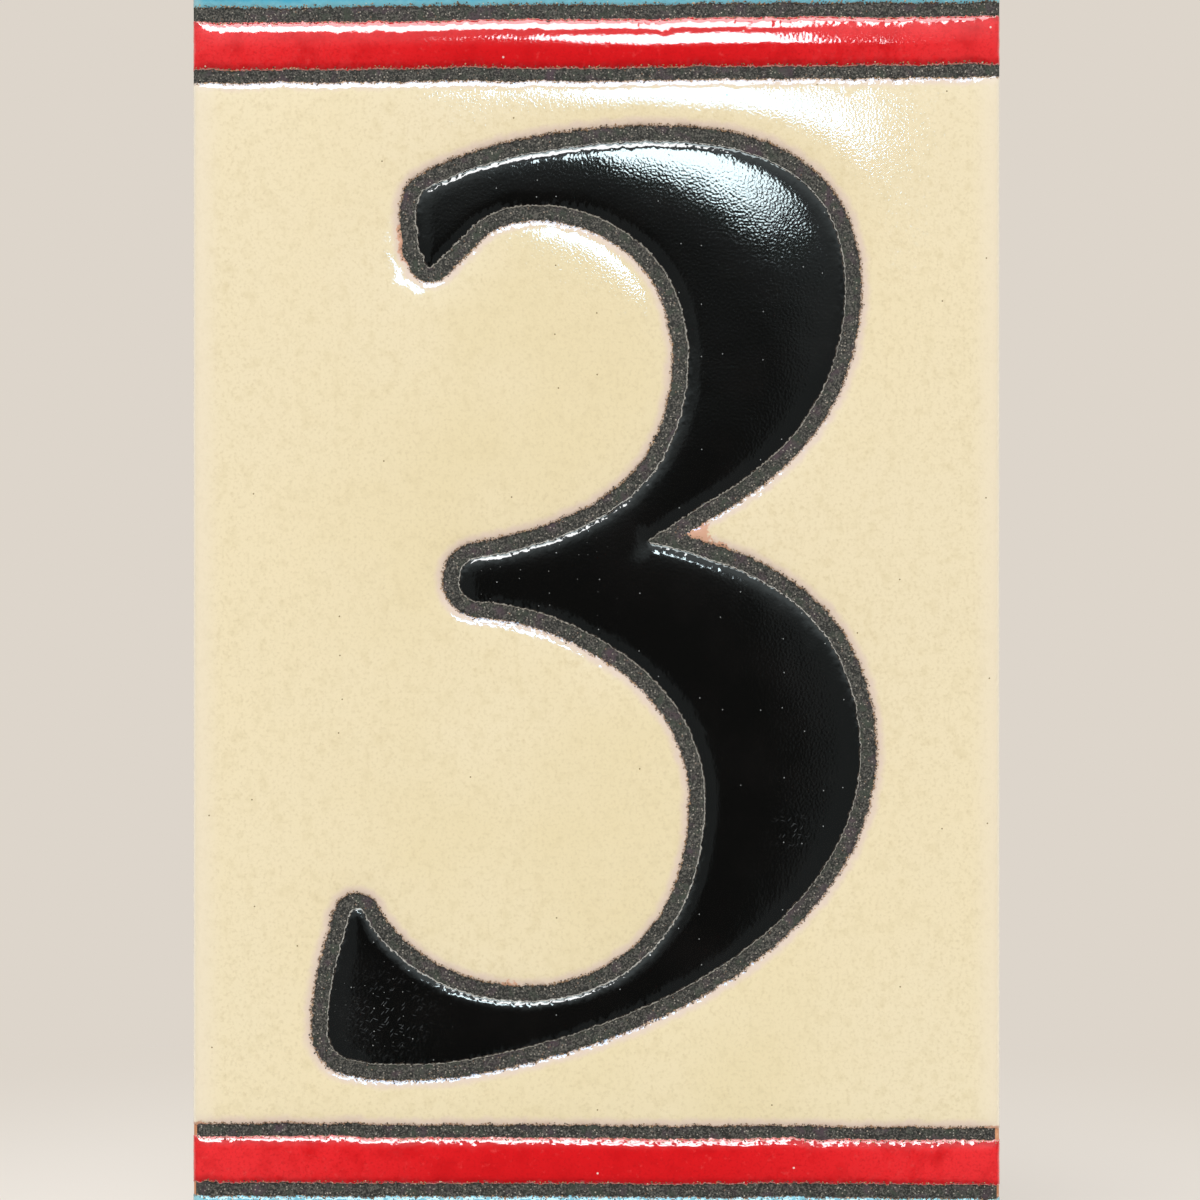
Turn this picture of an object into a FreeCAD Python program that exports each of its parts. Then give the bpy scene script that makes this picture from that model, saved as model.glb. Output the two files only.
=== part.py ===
import FreeCAD, Part
import Sketcher
import math
import os

# House number tile: a pressed clay biscuit with a dry-line glazed face.
# The face is divided by drawn lines that stay bare and low, and each cell between them
# is filled with its own glaze, which stands up as a cushion with rounded edges.
# Frame: X across the face, Z up, the face looks along -Y, origin at the centre of the back.

NODE = "number_tile"
doc = FreeCAD.newDocument(NODE)

# Driving dimensions, in millimetres
SIZES = (
    ("tile_width", 75.0),
    ("tile_height", 150.0),
    ("biscuit_thickness", 8.0),
    ("corner_radius", 1.2),
    ("back_chamfer", 0.6),
    ("groove_count", 8),
    ("groove_pitch", 7.6),
    ("groove_width", 3.2),
    ("groove_depth", 0.8),
    ("groove_end_margin", 9.0),
    ("numeral_height", 85.9),
    ("numeral_shift", -0.25),
    ("numeral_line", 1.35),
    ("numeral_glaze", 0.9),
    ("numeral_round", 0.5),
    ("field_margin", 4.1),
    ("field_glaze", 0.45),
    ("field_bevel", 0.25),
    ("band_line", 1.15),
    ("band_height", 4.4),
    ("band_glaze", 0.75),
    ("band_round", 0.6),
    ("end_glaze", 0.45),
    ("end_round", 0.3),
)

# Sizes worked out from the driving ones
DERIVED = (
    ("field_height", "=numeral_height + 2 * numeral_line + 2 * field_margin"),
    ("band_base", "=field_height / 2 + band_line"),
    ("end_base", "=band_base + band_height + band_line"),
    ("end_height", "=tile_height / 2 - end_base"),
    ("groove_length", "=tile_height - 2 * groove_end_margin"),
    ("groove_run", "=(groove_count - 1) * groove_pitch"),
)

# The numeral's outline, clockwise from its top. Each knot has its place across and up from the
# numeral's centre, as shares of the numeral's height, and the curve's heading there in degrees.
# The curve is smooth everywhere but at the notch, where it leaves on a heading of its own.
KNOTS = (
    ("top", 0.072, 0.500, 0),
    ("upper shoulder", 0.220, 0.461, -36),
    ("upper bowl", 0.273, 0.342, -90),
    ("upper flank", 0.205, 0.169, -135),
    ("notch", 0.060, 0.067, -146),
    ("lower shoulder", 0.216, 0.002, -38),
    ("lower bowl", 0.289, -0.160, -90),
    ("lower turn", 0.191, -0.353, -139),
    ("sweep", -0.029, -0.469, -163),
    ("foot", -0.209, -0.500, 180),
    ("heel", -0.289, -0.463, 90),
    ("lower tip, outer", -0.265, -0.336, 73),
    ("lower tip, inner", -0.248, -0.334, -63),
    ("terminal", -0.193, -0.394, -35),
    ("lower hollow", -0.072, -0.430, 0),
    ("lower inner turn", 0.069, -0.367, 49),
    ("lower inner side", 0.119, -0.213, 90),
    ("arm root, under", 0.038, -0.061, 144),
    ("arm underside", -0.123, 0.000, 177),
    ("arm end", -0.147, 0.023, 90),
    ("arm top", -0.129, 0.049, 9),
    ("arm root, over", 0.034, 0.112, 38),
    ("upper inner side", 0.101, 0.263, 90),
    ("upper inner turn", 0.061, 0.376, 133),
    ("upper hollow", -0.062, 0.429, 180),
    ("hollow end", -0.133, 0.403, -133),
    ("upper tip, inner", -0.172, 0.364, -134),
    ("upper tip, outer", -0.184, 0.370, 85),
    ("flag side", -0.191, 0.383, 90),
    ("flag corner, low", -0.191, 0.435, 72),
    ("flag corner, top", -0.184, 0.447, 29),
    ("brow", -0.062, 0.488, 10),
)
NOTCH = "notch"
NOTCH_LEAVES = -14

# The most of a glaze's height, or of the tightest bend in its edge, that its easing may take
EASING_LIMIT = 0.9

# How far apart two places may be and still count as one
FLAT = 1e-6


def make_sheet():
    sheet = doc.addObject("Spreadsheet::Sheet", "Sizes")
    for row, (name, value) in enumerate(SIZES + DERIVED, start=1):
        sheet.set(f"A{row}", name)
        sheet.set(f"B{row}", str(value))
        sheet.setAlias(f"B{row}", name)
    doc.recompute()
    return sheet


sheet = make_sheet()


def size(name):
    """A sheet cell as a plain number."""
    return float(sheet.get(name))


def bind(obj, expressions):
    """Tie properties to the sheet: each expression writes its cells as <cell>."""
    for path, text in expressions.items():
        obj.setExpression(path, text.replace("<", "Sizes.").replace(">", ""))


def make_feature(kind, name, expressions=None, **properties):
    feature = doc.addObject(kind, name)
    for key, value in properties.items():
        setattr(feature, key, value)
    bind(feature, expressions or {})
    doc.recompute()
    return feature


def back_rectangle(body, name, width, height):
    """A rectangle on the body's back plane, centred on its sketch, with bound sides."""
    sketch = body.newObject("Sketcher::SketchObject", name)
    plane = next(p for p in body.Origin.OriginFeatures if p.Role == "XZ_Plane")
    sketch.AttachmentSupport = [(plane, "")]
    sketch.MapMode = "FlatFace"
    half_width = size(width) / 2
    half_height = size(height) / 2
    corners = [FreeCAD.Vector(x * half_width, y * half_height, 0)
               for x, y in ((-1, -1), (1, -1), (1, 1), (-1, 1))]
    for start, end in zip(corners, corners[1:] + corners[:1]):
        sketch.addGeometry(Part.LineSegment(start, end))
    for side, run in enumerate(("Horizontal", "Vertical", "Horizontal", "Vertical")):
        sketch.addConstraint(Sketcher.Constraint("Coincident", side, 2, (side + 1) % 4, 1))
        sketch.addConstraint(Sketcher.Constraint(run, side))
    sketch.addConstraint(Sketcher.Constraint("Symmetric", 0, 1, 1, 2, -1, 1))
    wide = sketch.addConstraint(Sketcher.Constraint("DistanceX", 0, 1, 0, 2, 2 * half_width))
    high = sketch.addConstraint(Sketcher.Constraint("DistanceY", 1, 1, 1, 2, 2 * half_height))
    bind(sketch, {f"Constraints[{wide}]": f"<{width}>", f"Constraints[{high}]": f"<{height}>"})
    doc.recompute()
    return sketch


def edges_where(shape, test):
    """Numbers of the shape's edges that pass the test."""
    return [i for i, edge in enumerate(shape.Edges, start=1) if test(edge)]


def runs_front_to_back(edge):
    start, end = (v.Point for v in edge.Vertexes)
    return math.hypot(start.x - end.x, start.z - end.z) < FLAT


def lies_at(axis, place):
    """A test for edges whose every end lies at one place along an axis."""
    return lambda edge: all(abs(getattr(v.Point, axis) - place) < FLAT for v in edge.Vertexes)


def make_biscuit():
    """The pressed clay slab, with eased corners and keying grooves down its back."""
    body = doc.addObject("PartDesign::Body", "biscuit")
    slab = body.newObject("PartDesign::Pad", "slab")
    slab.Profile = back_rectangle(body, "slab_outline", "tile_width", "tile_height")
    bind(slab, {"Length": "<biscuit_thickness>"})
    doc.recompute()

    corners = body.newObject("PartDesign::Fillet", "corners")
    corners.Base = (slab, [f"Edge{i}" for i in edges_where(slab.Shape, runs_front_to_back)])
    bind(corners, {"Radius": "<corner_radius>"})
    doc.recompute()

    easing = body.newObject("PartDesign::Chamfer", "back_easing")
    easing.Base = (corners, [f"Edge{i}" for i in edges_where(corners.Shape, lies_at("y", 0))])
    bind(easing, {"Size": "<back_chamfer>"})
    doc.recompute()

    outline = back_rectangle(body, "groove_outline", "groove_width", "groove_length")
    bind(outline, {"AttachmentOffset.Base.x": "-<groove_run> / 2"})
    groove = body.newObject("PartDesign::Pocket", "groove")
    groove.Profile = outline
    groove.Reversed = True
    bind(groove, {"Length": "<groove_depth>"})
    doc.recompute()

    grooves = body.newObject("PartDesign::LinearPattern", "grooves")
    grooves.Originals = [groove]
    grooves.Direction = (outline, ["H_Axis"])
    bind(grooves, {"Length": "<groove_run>", "Occurrences": "<groove_count>"})
    body.Tip = grooves
    doc.recompute()
    return body


def ease_front(kind, name, cell, glaze, easing):
    """Round or bevel a glaze cell's front edges, as far as its height and its bends allow."""
    rim = edges_where(cell.Shape, lies_at("y", -size("biscuit_thickness") - size(glaze)))
    curves = [cell.Shape.Edges[i - 1].Curve for i in rim]
    walls = [size(glaze)] + [curve.Radius for curve in curves if isinstance(curve, Part.Circle)]
    limit = min(size(easing), EASING_LIMIT * min(walls))
    return make_feature(kind, name, Base=cell, Edges=[(i, limit, limit) for i in rim])


def glaze_block(name, base, height, glaze):
    """A glaze cell right across the tile, from its base line upwards."""
    return make_feature("Part::Box", name, {
        "Length": "<tile_width>",
        "Width": f"<{glaze}>",
        "Height": f"<{height}>",
        "Placement.Base.x": "-<tile_width> / 2",
        "Placement.Base.y": f"-<biscuit_thickness> - <{glaze}>",
        "Placement.Base.z": base,
    })


def make_band(name, base):
    block = glaze_block(f"{name}_block", base, "band_height", "band_glaze")
    return ease_front("Part::Fillet", name, block, "band_glaze", "band_round")


def make_end(name, base, outer):
    """An end cell, with the tile's two eased corners at its outer side."""
    block = glaze_block(f"{name}_block", base, "end_height", "end_glaze")
    at_end = lies_at("z", outer)
    tile_corners = edges_where(block.Shape, lambda edge: runs_front_to_back(edge) and at_end(edge))
    radius = size("corner_radius")
    eased = make_feature("Part::Fillet", f"{name}_corners", Base=block,
                         Edges=[(i, radius, radius) for i in tile_corners])
    return ease_front("Part::Fillet", name, eased, "end_glaze", "end_round")


def tangent_arc(start, heading, end):
    """The arc from start to end that sets off along heading."""
    length = (end - start).Length
    chord = (end - start) / length
    straightness = heading.dot(chord)
    bulge = (heading - chord * straightness) * length / (2 + 2 * straightness)
    return Part.Arc(start, (start + end) / 2 + bulge, end)


def biarc(start, start_heading, end, end_heading):
    """Two tangent arcs that join two knots along the headings at both."""
    span = end - start
    headings = start_heading + end_heading
    spread = 1 - start_heading.dot(end_heading)
    along = span.dot(headings)
    reach = (math.sqrt(along ** 2 + 2 * spread * span.dot(span)) - along) / (2 * spread)
    middle = (start + end + (start_heading - end_heading) * reach) / 2
    first = tangent_arc(start, start_heading, middle)
    second = tangent_arc(end, -end_heading, middle)
    return [first.toShape(), second.toShape()]


def numeral_wire():
    """The numeral's outline on the biscuit's face, two tangent arcs from each knot to the next."""
    height = size("numeral_height")
    face = -size("biscuit_thickness")
    places = [FreeCAD.Vector(size("numeral_shift") + across * height, face, up * height)
              for _, across, up, _ in KNOTS]

    def heading(degrees):
        turn = math.radians(degrees)
        return FreeCAD.Vector(math.cos(turn), 0, math.sin(turn))

    edges = []
    for here, (name, _, _, degrees) in enumerate(KNOTS):
        there = (here + 1) % len(KNOTS)
        leaves = NOTCH_LEAVES if name == NOTCH else degrees
        edges += biarc(places[here], heading(leaves), places[there], heading(KNOTS[there][3]))
    return Part.Wire(Part.sortEdges(edges)[0])


def raised(name, outline, height):
    """A solid that stands forward from the biscuit's face."""
    return make_feature("Part::Extrusion", name, {"LengthFwd": height}, Base=outline,
                        DirMode="Custom", Dir=FreeCAD.Vector(0, -1, 0), Solid=True)


def make_numeral(outline):
    cell = raised("numeral_cell", outline, "<numeral_glaze>")
    return ease_front("Part::Fillet", "numeral", cell, "numeral_glaze", "numeral_round")


def make_field(outline):
    """The pale field, kept clear of the numeral by the width of the drawn line."""
    line = make_feature("Part::Offset2D", "numeral_line_edge", {"Value": "<numeral_line>"},
                        Source=outline, Mode="Pipe", Join="Arc")
    gap = raised("numeral_gap", line, "2 * <field_glaze>")
    block = glaze_block("field_block", "-<field_height> / 2", "field_height", "field_glaze")
    cell = make_feature("Part::Cut", "field_cell", Base=block, Tool=gap)
    return ease_front("Part::Chamfer", "field", cell, "field_glaze", "field_bevel")


def check_document():
    for obj in doc.Objects:
        broken = {"Invalid", "Error"} & set(obj.State)
        if broken:
            raise RuntimeError(f"{obj.Name} is {sorted(broken)}")


biscuit = make_biscuit()
outline = make_feature("Part::Feature", "numeral_outline", Shape=numeral_wire())
tile_end = size("tile_height") / 2
glazes = [
    make_numeral(outline),
    make_field(outline),
    make_band("upper_band", "<band_base>"),
    make_band("lower_band", "-<band_base> - <band_height>"),
    make_end("upper_end", "<end_base>", tile_end),
    make_end("lower_end", "-<end_base> - <end_height>", -tile_end),
]

tile = make_feature("Part::MultiFuse", NODE, Shapes=[biscuit] + glazes, Refine=True)
check_document()
if tile.Shape.isNull() or not tile.Shape.isValid() or len(tile.Shape.Solids) != 1:
    raise RuntimeError("the tile is not one valid solid")

os.makedirs("parts", exist_ok=True)
tile.Shape.exportStep(f"parts/{NODE}.step")
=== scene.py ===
import math
import bpy
import numpy as np
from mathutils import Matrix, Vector
from mathutils.geometry import delaunay_2d_cdt
from mathutils.kdtree import KDTree


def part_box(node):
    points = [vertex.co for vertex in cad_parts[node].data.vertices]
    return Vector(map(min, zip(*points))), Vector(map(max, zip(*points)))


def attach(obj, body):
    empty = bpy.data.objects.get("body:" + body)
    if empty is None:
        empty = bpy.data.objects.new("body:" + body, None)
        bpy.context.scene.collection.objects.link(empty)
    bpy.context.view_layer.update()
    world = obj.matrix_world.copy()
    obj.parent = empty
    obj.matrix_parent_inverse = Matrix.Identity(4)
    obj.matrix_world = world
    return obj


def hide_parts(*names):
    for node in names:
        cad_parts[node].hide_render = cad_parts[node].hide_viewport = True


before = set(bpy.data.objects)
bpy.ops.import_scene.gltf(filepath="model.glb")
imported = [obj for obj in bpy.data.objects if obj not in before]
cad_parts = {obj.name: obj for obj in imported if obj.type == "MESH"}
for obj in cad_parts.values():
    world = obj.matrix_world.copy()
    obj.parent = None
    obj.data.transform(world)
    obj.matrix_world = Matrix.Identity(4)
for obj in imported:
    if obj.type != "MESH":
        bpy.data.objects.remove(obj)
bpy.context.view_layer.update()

# A dry-line glazed house number tile. Lines of a manganese and grease mix are drawn on the clay,
# glazes are flooded between them, and in the kiln each glaze melts to a glossy cushion that
# stops at the bare, gritty line. Sizes here are millimetres, turned to metres in each mesh.
# Places on the face are complex numbers: across to the right, and up.
NODE = "number_tile"
BODY = "root"
MM = 0.001
low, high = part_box(NODE)
HALF_WIDTH = high.x / MM
HALF_HEIGHT = high.z / MM

# The clay body. The glazes stand out past its sides by the lip.
FACE = -8.0
CORNER_RADIUS = 1.2
ARRIS_RADIUS = 0.5
GLAZE_LIP = 0.06
BACK_CHAMFER = 0.6
GROOVE_COUNT = 8
GROOVE_PITCH = 7.6
GROOVE_WIDTH = 3.2
GROOVE_DEPTH = 0.8
GROOVE_LENGTH = 132.0
GROOVE_DRAFT = 0.22

# How deep a glaze and a line are rooted in the clay, so that no gap opens under them, and how
# deep their sides are at least
GLAZE_ROOT = 0.65
LINE_ROOT = 0.3
LEAST_SIDE = 0.15

# Distances from a glaze's edge at which its mesh has a ring of points
GLAZE_RINGS = (0.05, 0.11, 0.19, 0.30, 0.45, 0.65, 0.92, 1.25)
LINE_RINGS = (0.09, 0.2)

# The round lip that a melted glaze draws up at its edge, and the beads that break it
EDGE_HEIGHT = 0.05
LIP_HEIGHT = 0.09
LIP_REACH = 0.1
BEAD_SHARE = 0.75
BEAD_SPACING = 0.55
BEAD_REACH = 0.35

# How far a glaze that was flooded on by hand swells and sinks
SWELL = 0.018

# The grit: the least and most radius of a grain, how flat it lies, and how far it keeps from the
# tile's sides. A grain is one to two of the photo's pixels across, since a finer one wouldn't show.
LINE_GRAINS = (0.045, 0.095)
FRINGE_GRAINS = (0.045, 0.1)
GRAIN_FLATNESS = 0.6
GRAIN_MARGIN = 0.05

# The numeral's outline, clockwise from its top: place across and up from its centre, as shares
# of its height, and the curve's heading in degrees. Only the notch leaves on another heading.
NUMERAL_HEIGHT = 85.9
NUMERAL_CENTRE = -0.25
NUMERAL_LINE = 1.35
KNOTS = (
    ("top", 0.072, 0.500, 0),
    ("upper shoulder", 0.220, 0.461, -36),
    ("upper bowl", 0.273, 0.342, -90),
    ("upper flank", 0.205, 0.169, -135),
    ("notch", 0.060, 0.067, -146),
    ("lower shoulder", 0.216, 0.002, -38),
    ("lower bowl", 0.289, -0.160, -90),
    ("lower turn", 0.191, -0.353, -139),
    ("sweep", -0.029, -0.469, -163),
    ("foot", -0.209, -0.500, 180),
    ("heel", -0.289, -0.463, 90),
    ("lower tip, outer", -0.265, -0.336, 73),
    ("lower tip, inner", -0.248, -0.334, -63),
    ("terminal", -0.193, -0.394, -35),
    ("lower hollow", -0.072, -0.430, 0),
    ("lower inner turn", 0.069, -0.367, 49),
    ("lower inner side", 0.119, -0.213, 90),
    ("arm root, under", 0.038, -0.061, 144),
    ("arm underside", -0.123, 0.000, 177),
    ("arm end", -0.147, 0.023, 90),
    ("arm top", -0.129, 0.049, 9),
    ("arm root, over", 0.034, 0.112, 38),
    ("upper inner side", 0.101, 0.263, 90),
    ("upper inner turn", 0.061, 0.376, 133),
    ("upper hollow", -0.062, 0.429, 180),
    ("hollow end", -0.133, 0.403, -133),
    ("upper tip, inner", -0.172, 0.364, -134),
    ("upper tip, outer", -0.184, 0.370, 85),
    ("flag side", -0.191, 0.383, 90),
    ("flag corner, low", -0.191, 0.435, 72),
    ("flag corner, top", -0.184, 0.447, 29),
    ("brow", -0.062, 0.488, 10),
)
NOTCH_LEAVES = -14

# The straight lines, ruled by hand: height at the middle of the tile, climb to the right for
# each millimetre, width, and how far short of the tile's sides they stop
RULED = {
    "upper_end_line": (54.85, 0.0085, 1.20, 0.0),
    "upper_field_line": (49.12, 0.0080, 1.05, 0.0),
    "lower_field_line": (-49.12, -0.0045, 1.05, 0.35),
    "lower_end_line": (-54.50, -0.0030, 1.15, 0.25),
}

# Where the glaze drew back and bare clay shows: across, up, reach, and reach away from the line
BARE_SPOTS = (
    (9.5, 6.5, 1.3, 1.5),
    (11.7, 5.3, 0.9, 0.5),
    (-18.2, 34.4, 0.9, 0.45),
    (-18.0, 33.2, 0.9, 0.45),
    (-17.8, 31.9, 0.8, 0.4),
    (-3.0, -33.6, 1.3, 0.55),
    (-8.0, -34.7, 1.1, 0.55),
    (-36.9, -49.0, 1.2, 0.65),
    (36.9, -49.4, 1.2, 0.65),
    (-36.9, -54.5, 1.0, 0.65),
    (36.9, -54.8, 1.0, 0.65),
)

# Where the black glaze is rubbed, and where dust settled on it: across, up, and reach
SCUFFS = (
    (-19.2, -38.2, 3.0),
    (18.0, -21.0, 1.3),
)
DUST = (
    (-5.5, 1.5, 5.0),
    (-19.0, -37.0, 4.0),
)


def ripple(places, wavelength, seed, waves=16):
    """Smooth seeded unevenness, mostly within -1 to 1, from waves that run every way."""
    random = np.random.default_rng(seed)
    points = np.stack([places.real, places.imag], axis=1) if np.iscomplexobj(places) else places
    ways = random.normal(size=(waves, points.shape[1]))
    ways /= np.linalg.norm(ways, axis=1, keepdims=True)
    lengths = wavelength * random.uniform(0.7, 1.5, waves)
    phases = random.uniform(0, 2 * math.pi, waves)
    return np.sin(points @ (2 * math.pi * ways.T / lengths) + phases).sum(axis=1) / math.sqrt(waves)


# Outlines

def arc_points(start, heading, end, spacing):
    """Places along the arc that leaves start along heading, short of its end."""
    chord = end - start
    half_turn = np.angle(chord / heading)
    length = abs(chord) * half_turn / math.sin(half_turn)
    steps = np.arange(max(1, round(length / spacing)))
    share = steps / len(steps)
    reach = abs(chord) * np.sin(half_turn * share) / math.sin(half_turn)
    return start + heading * np.exp(1j * half_turn * share) * reach


def dot(a, b):
    """The dot product of two places or directions."""
    return (np.conj(a) * b).real


def biarc(start, start_heading, end, end_heading, spacing):
    """Two tangent arcs that join two knots along the headings at both."""
    span = end - start
    headings = start_heading + end_heading
    spread = 1 - dot(start_heading, end_heading)
    along = dot(span, headings)
    reach = (math.sqrt(along ** 2 + 2 * spread * abs(span) ** 2) - along) / (2 * spread)
    middle = (start + end + (start_heading - end_heading) * reach) / 2
    back = arc_points(end, -end_heading, middle, spacing)
    return np.concatenate([arc_points(start, start_heading, middle, spacing), [middle],
                           back[:0:-1]])


def numeral_outline(spacing):
    """The numeral's outline, anticlockwise."""
    places = [NUMERAL_CENTRE + NUMERAL_HEIGHT * (across + 1j * up) for _, across, up, _ in KNOTS]
    runs = []
    for here, (name, _, _, degrees) in enumerate(KNOTS):
        there = (here + 1) % len(KNOTS)
        leaves = NOTCH_LEAVES if name == "notch" else degrees
        headings = [np.exp(1j * math.radians(turn)) for turn in (leaves, KNOTS[there][3])]
        runs.append(biarc(places[here], headings[0], places[there], headings[1], spacing))
    return np.concatenate(runs)[::-1]


def inward(loop):
    """Unit normals of a closed loop, to the left of its travel."""
    before = loop - np.roll(loop, 1)
    after = np.roll(loop, -1) - loop
    along = before / abs(before) + after / abs(after)
    return 1j * along / abs(along)


def grown(loop, distance, slack=0.995):
    """An anticlockwise loop moved outwards, or inwards where distance is negative."""
    moved = loop - inward(loop) * distance
    clear = np.array([gap for _, _, gap in nearest(loop, moved)])
    return moved[clear >= abs(distance) * slack]


def ragged(loop, amount, seed):
    """The loop with the uneven edge that a melted glaze leaves along a gritty line."""
    wander = 0.3 * ripple(loop, 2.6, seed) + 0.35 * ripple(loop, 0.8, seed + 1)
    wander += 0.55 * ripple(loop, 0.42, seed + 2)
    return loop + inward(loop) * wander * amount


def tile_outline(inset, spacing):
    """The tile's outline with its eased corners, anticlockwise."""
    wide = HALF_WIDTH - CORNER_RADIUS
    tall = HALF_HEIGHT - CORNER_RADIUS
    radius = CORNER_RADIUS - inset
    runs = []
    centres = (wide - 1j * tall, wide + 1j * tall, -wide + 1j * tall, -wide - 1j * tall)
    for turn, centre in enumerate(centres):
        start = -math.pi / 2 + turn * math.pi / 2
        angles = start + np.linspace(0, math.pi / 2, 6)
        corner = centre + radius * np.exp(1j * angles)
        following = centres[(turn + 1) % 4] + radius * np.exp(1j * angles[-1])
        count = round(abs(following - corner[-1]) / spacing)
        side = corner[-1] + (following - corner[-1]) * np.arange(1, count) / count
        runs += [corner, side]
    return np.concatenate(runs)


def side_distance(places):
    """How far places lie inside the tile's outline."""
    across = abs(places.real) - (HALF_WIDTH - CORNER_RADIUS)
    up = abs(places.imag) - (HALF_HEIGHT - CORNER_RADIUS)
    outside = np.hypot(np.maximum(across, 0), np.maximum(up, 0))
    return CORNER_RADIUS - outside - np.minimum(np.maximum(across, up), 0)


def fall(distance):
    """How far the clay's rounded arris falls back from the face, near the tile's sides."""
    into = np.clip(ARRIS_RADIUS - distance, 0, ARRIS_RADIUS)
    return ARRIS_RADIUS - np.sqrt(ARRIS_RADIUS ** 2 - into ** 2)


def ruled_edge(name, side, across):
    """One edge of a ruled line, upper for side 1 and lower for side -1."""
    middle, climb, width, _ = RULED[name]
    seed = 100 + 10 * list(RULED).index(name)
    straight = across + 0j
    waver = 0.05 * ripple(straight, 23, seed) + 0.02 * ripple(straight, 7, seed + 1)
    swell = 0.045 * ripple(straight, 5, seed + 2 + side)
    return across + 1j * (middle + climb * across + waver + side * (width / 2 + swell))


def strip_loop(bottom, top, spacing=0.28):
    """The anticlockwise loop between two edges that run from left to right."""
    right = np.linspace(bottom[-1], top[-1], max(3, round(abs(top[-1] - bottom[-1]) / spacing)))
    left = np.linspace(top[0], bottom[0], max(3, round(abs(top[0] - bottom[0]) / spacing)))
    return np.concatenate([bottom, right[1:-1], top[::-1], left[1:-1]])


def end_loop(edge, upper):
    """The loop of an end cell, between a ruled line's edge and the tile's rounded end."""
    tile = tile_outline(0, 0.28)
    beyond = tile.imag > edge.imag.mean() + 1 if upper else tile.imag < edge.imag.mean() - 1
    first = np.argmax(beyond & ~np.roll(beyond, 1))
    round_the_end = np.roll(tile, -first)[:beyond.sum()]
    line = edge if upper else edge[::-1]
    return np.concatenate([line, round_the_end])


# Meshes of one cell of the face

def nearest(loop, places):
    """For each place, the nearest point of a loop: its place, index and distance."""
    tree = KDTree(len(loop))
    for index, point in enumerate(loop):
        tree.insert((point.real, point.imag, 0), index)
    tree.balance()
    return [tree.find((place.real, place.imag, 0)) for place in places]


def rims_of(loops):
    """The loops as runs of indices, one after the other."""
    starts = np.cumsum([0] + [len(loop) for loop in loops])
    return [list(range(start, stop)) for start, stop in zip(starts, starts[1:])]


def triangulated(places, loops, creases=()):
    """Anticlockwise triangles between the places. They stay inside the first loop, out of the
    other loops, and keep creases as edges."""
    outer, *holes = rims_of(loops)
    keep_inside, leave_out_holes = 1, 2
    points = [Vector((place.real, place.imag)) for place in places]
    rims = [outer] + [hole[::-1] for hole in holes]
    kind = leave_out_holes if holes else keep_inside
    made, _, triangles, *_ = delaunay_2d_cdt(points, list(creases), rims, kind, 1e-7)
    if len(made) != len(places):
        raise RuntimeError(f"loops cross: {len(made) - len(places)} points were added")
    return np.array(triangles)


def rim_edges(loops, first=0):
    """Each loop's edges, as pairs of indices that start from first."""
    return [(first + a, first + b) for run in rims_of(loops) for a, b in zip(run, run[1:] + run[:1])]


def cell_mesh(loops, rings, spacing):
    """Fill between loops: fine rings along the edges, then an even spread of points.
    The first loop runs anticlockwise and holes run clockwise."""
    rim = np.concatenate(loops)
    facing = np.concatenate([inward(loop) for loop in loops])
    places = [rim]
    distances = [np.zeros(len(rim))]

    def keep(candidates, least):
        found = nearest(rim, candidates)
        gaps = np.array([gap for _, _, gap in found])
        owners = np.array([index for _, index, _ in found])
        inside = dot(candidates - rim[owners], facing[owners]) > 0
        kept = inside & (gaps >= least)
        places.append(candidates[kept])
        distances.append(gaps[kept])

    for ring in rings:
        thinned = slice(None, None, 1 if ring < 0.8 else 2)
        keep((rim + facing * ring)[thinned], ring * 0.97)
    left, right = rim.real.min(), rim.real.max()
    bottom, top = rim.imag.min(), rim.imag.max()
    across = np.arange(left, right, spacing)
    up = np.arange(bottom, top, spacing * math.sqrt(3) / 2)
    grid = across[None, :] + 1j * up[:, None]
    grid[1::2] += spacing / 2
    keep(grid.ravel(), rings[-1] + spacing * 0.6)

    places = np.concatenate(places)
    triangles = triangulated(places, loops)
    used, renumbered = np.unique(triangles, return_inverse=True)
    distances = np.concatenate(distances)
    return places[used], renumbered.reshape(triangles.shape), distances[used], len(rim)


def settle(places, triangles, fixed, rim_height, height, creep):
    """How high a melted glaze stands: held at its edge, and level once creep away from it."""
    count = len(places)
    corners = places[triangles]
    firsts, seconds, pulls = [], [], []
    area = np.zeros(count)
    for turn in range(3):
        a = corners[:, (turn + 1) % 3] - corners[:, turn]
        b = corners[:, (turn + 2) % 3] - corners[:, turn]
        twice = np.abs((np.conj(a) * b).imag) + 1e-9
        firsts.append(triangles[:, (turn + 1) % 3])
        seconds.append(triangles[:, (turn + 2) % 3])
        pulls.append(np.maximum(dot(a, b) / twice / 2, 0))
        area += np.bincount(triangles[:, turn], twice / 6, count)
    first, second = np.concatenate(firsts), np.concatenate(seconds)
    pull = np.concatenate(pulls)
    ground = area / creep ** 2
    whole = np.bincount(first, pull, count) + np.bincount(second, pull, count) + ground

    def apply(level):
        spread = np.bincount(first, pull * level[second], count)
        spread += np.bincount(second, pull * level[first], count)
        return whole * level - spread

    level = np.full(count, float(height))
    level[:fixed] = rim_height
    free = np.ones(count)
    free[:fixed] = 0
    rest = (ground * height - apply(level)) * free
    step = rest / whole
    energy = rest @ step
    way = step.copy()
    for _ in range(900):
        moved = apply(way) * free
        size = energy / (way @ moved)
        level += size * way
        rest -= size * moved
        step = rest / whole
        before, energy = energy, rest @ step
        if energy < 1e-12:
            break
        way = step + way * energy / before
    return level


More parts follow.
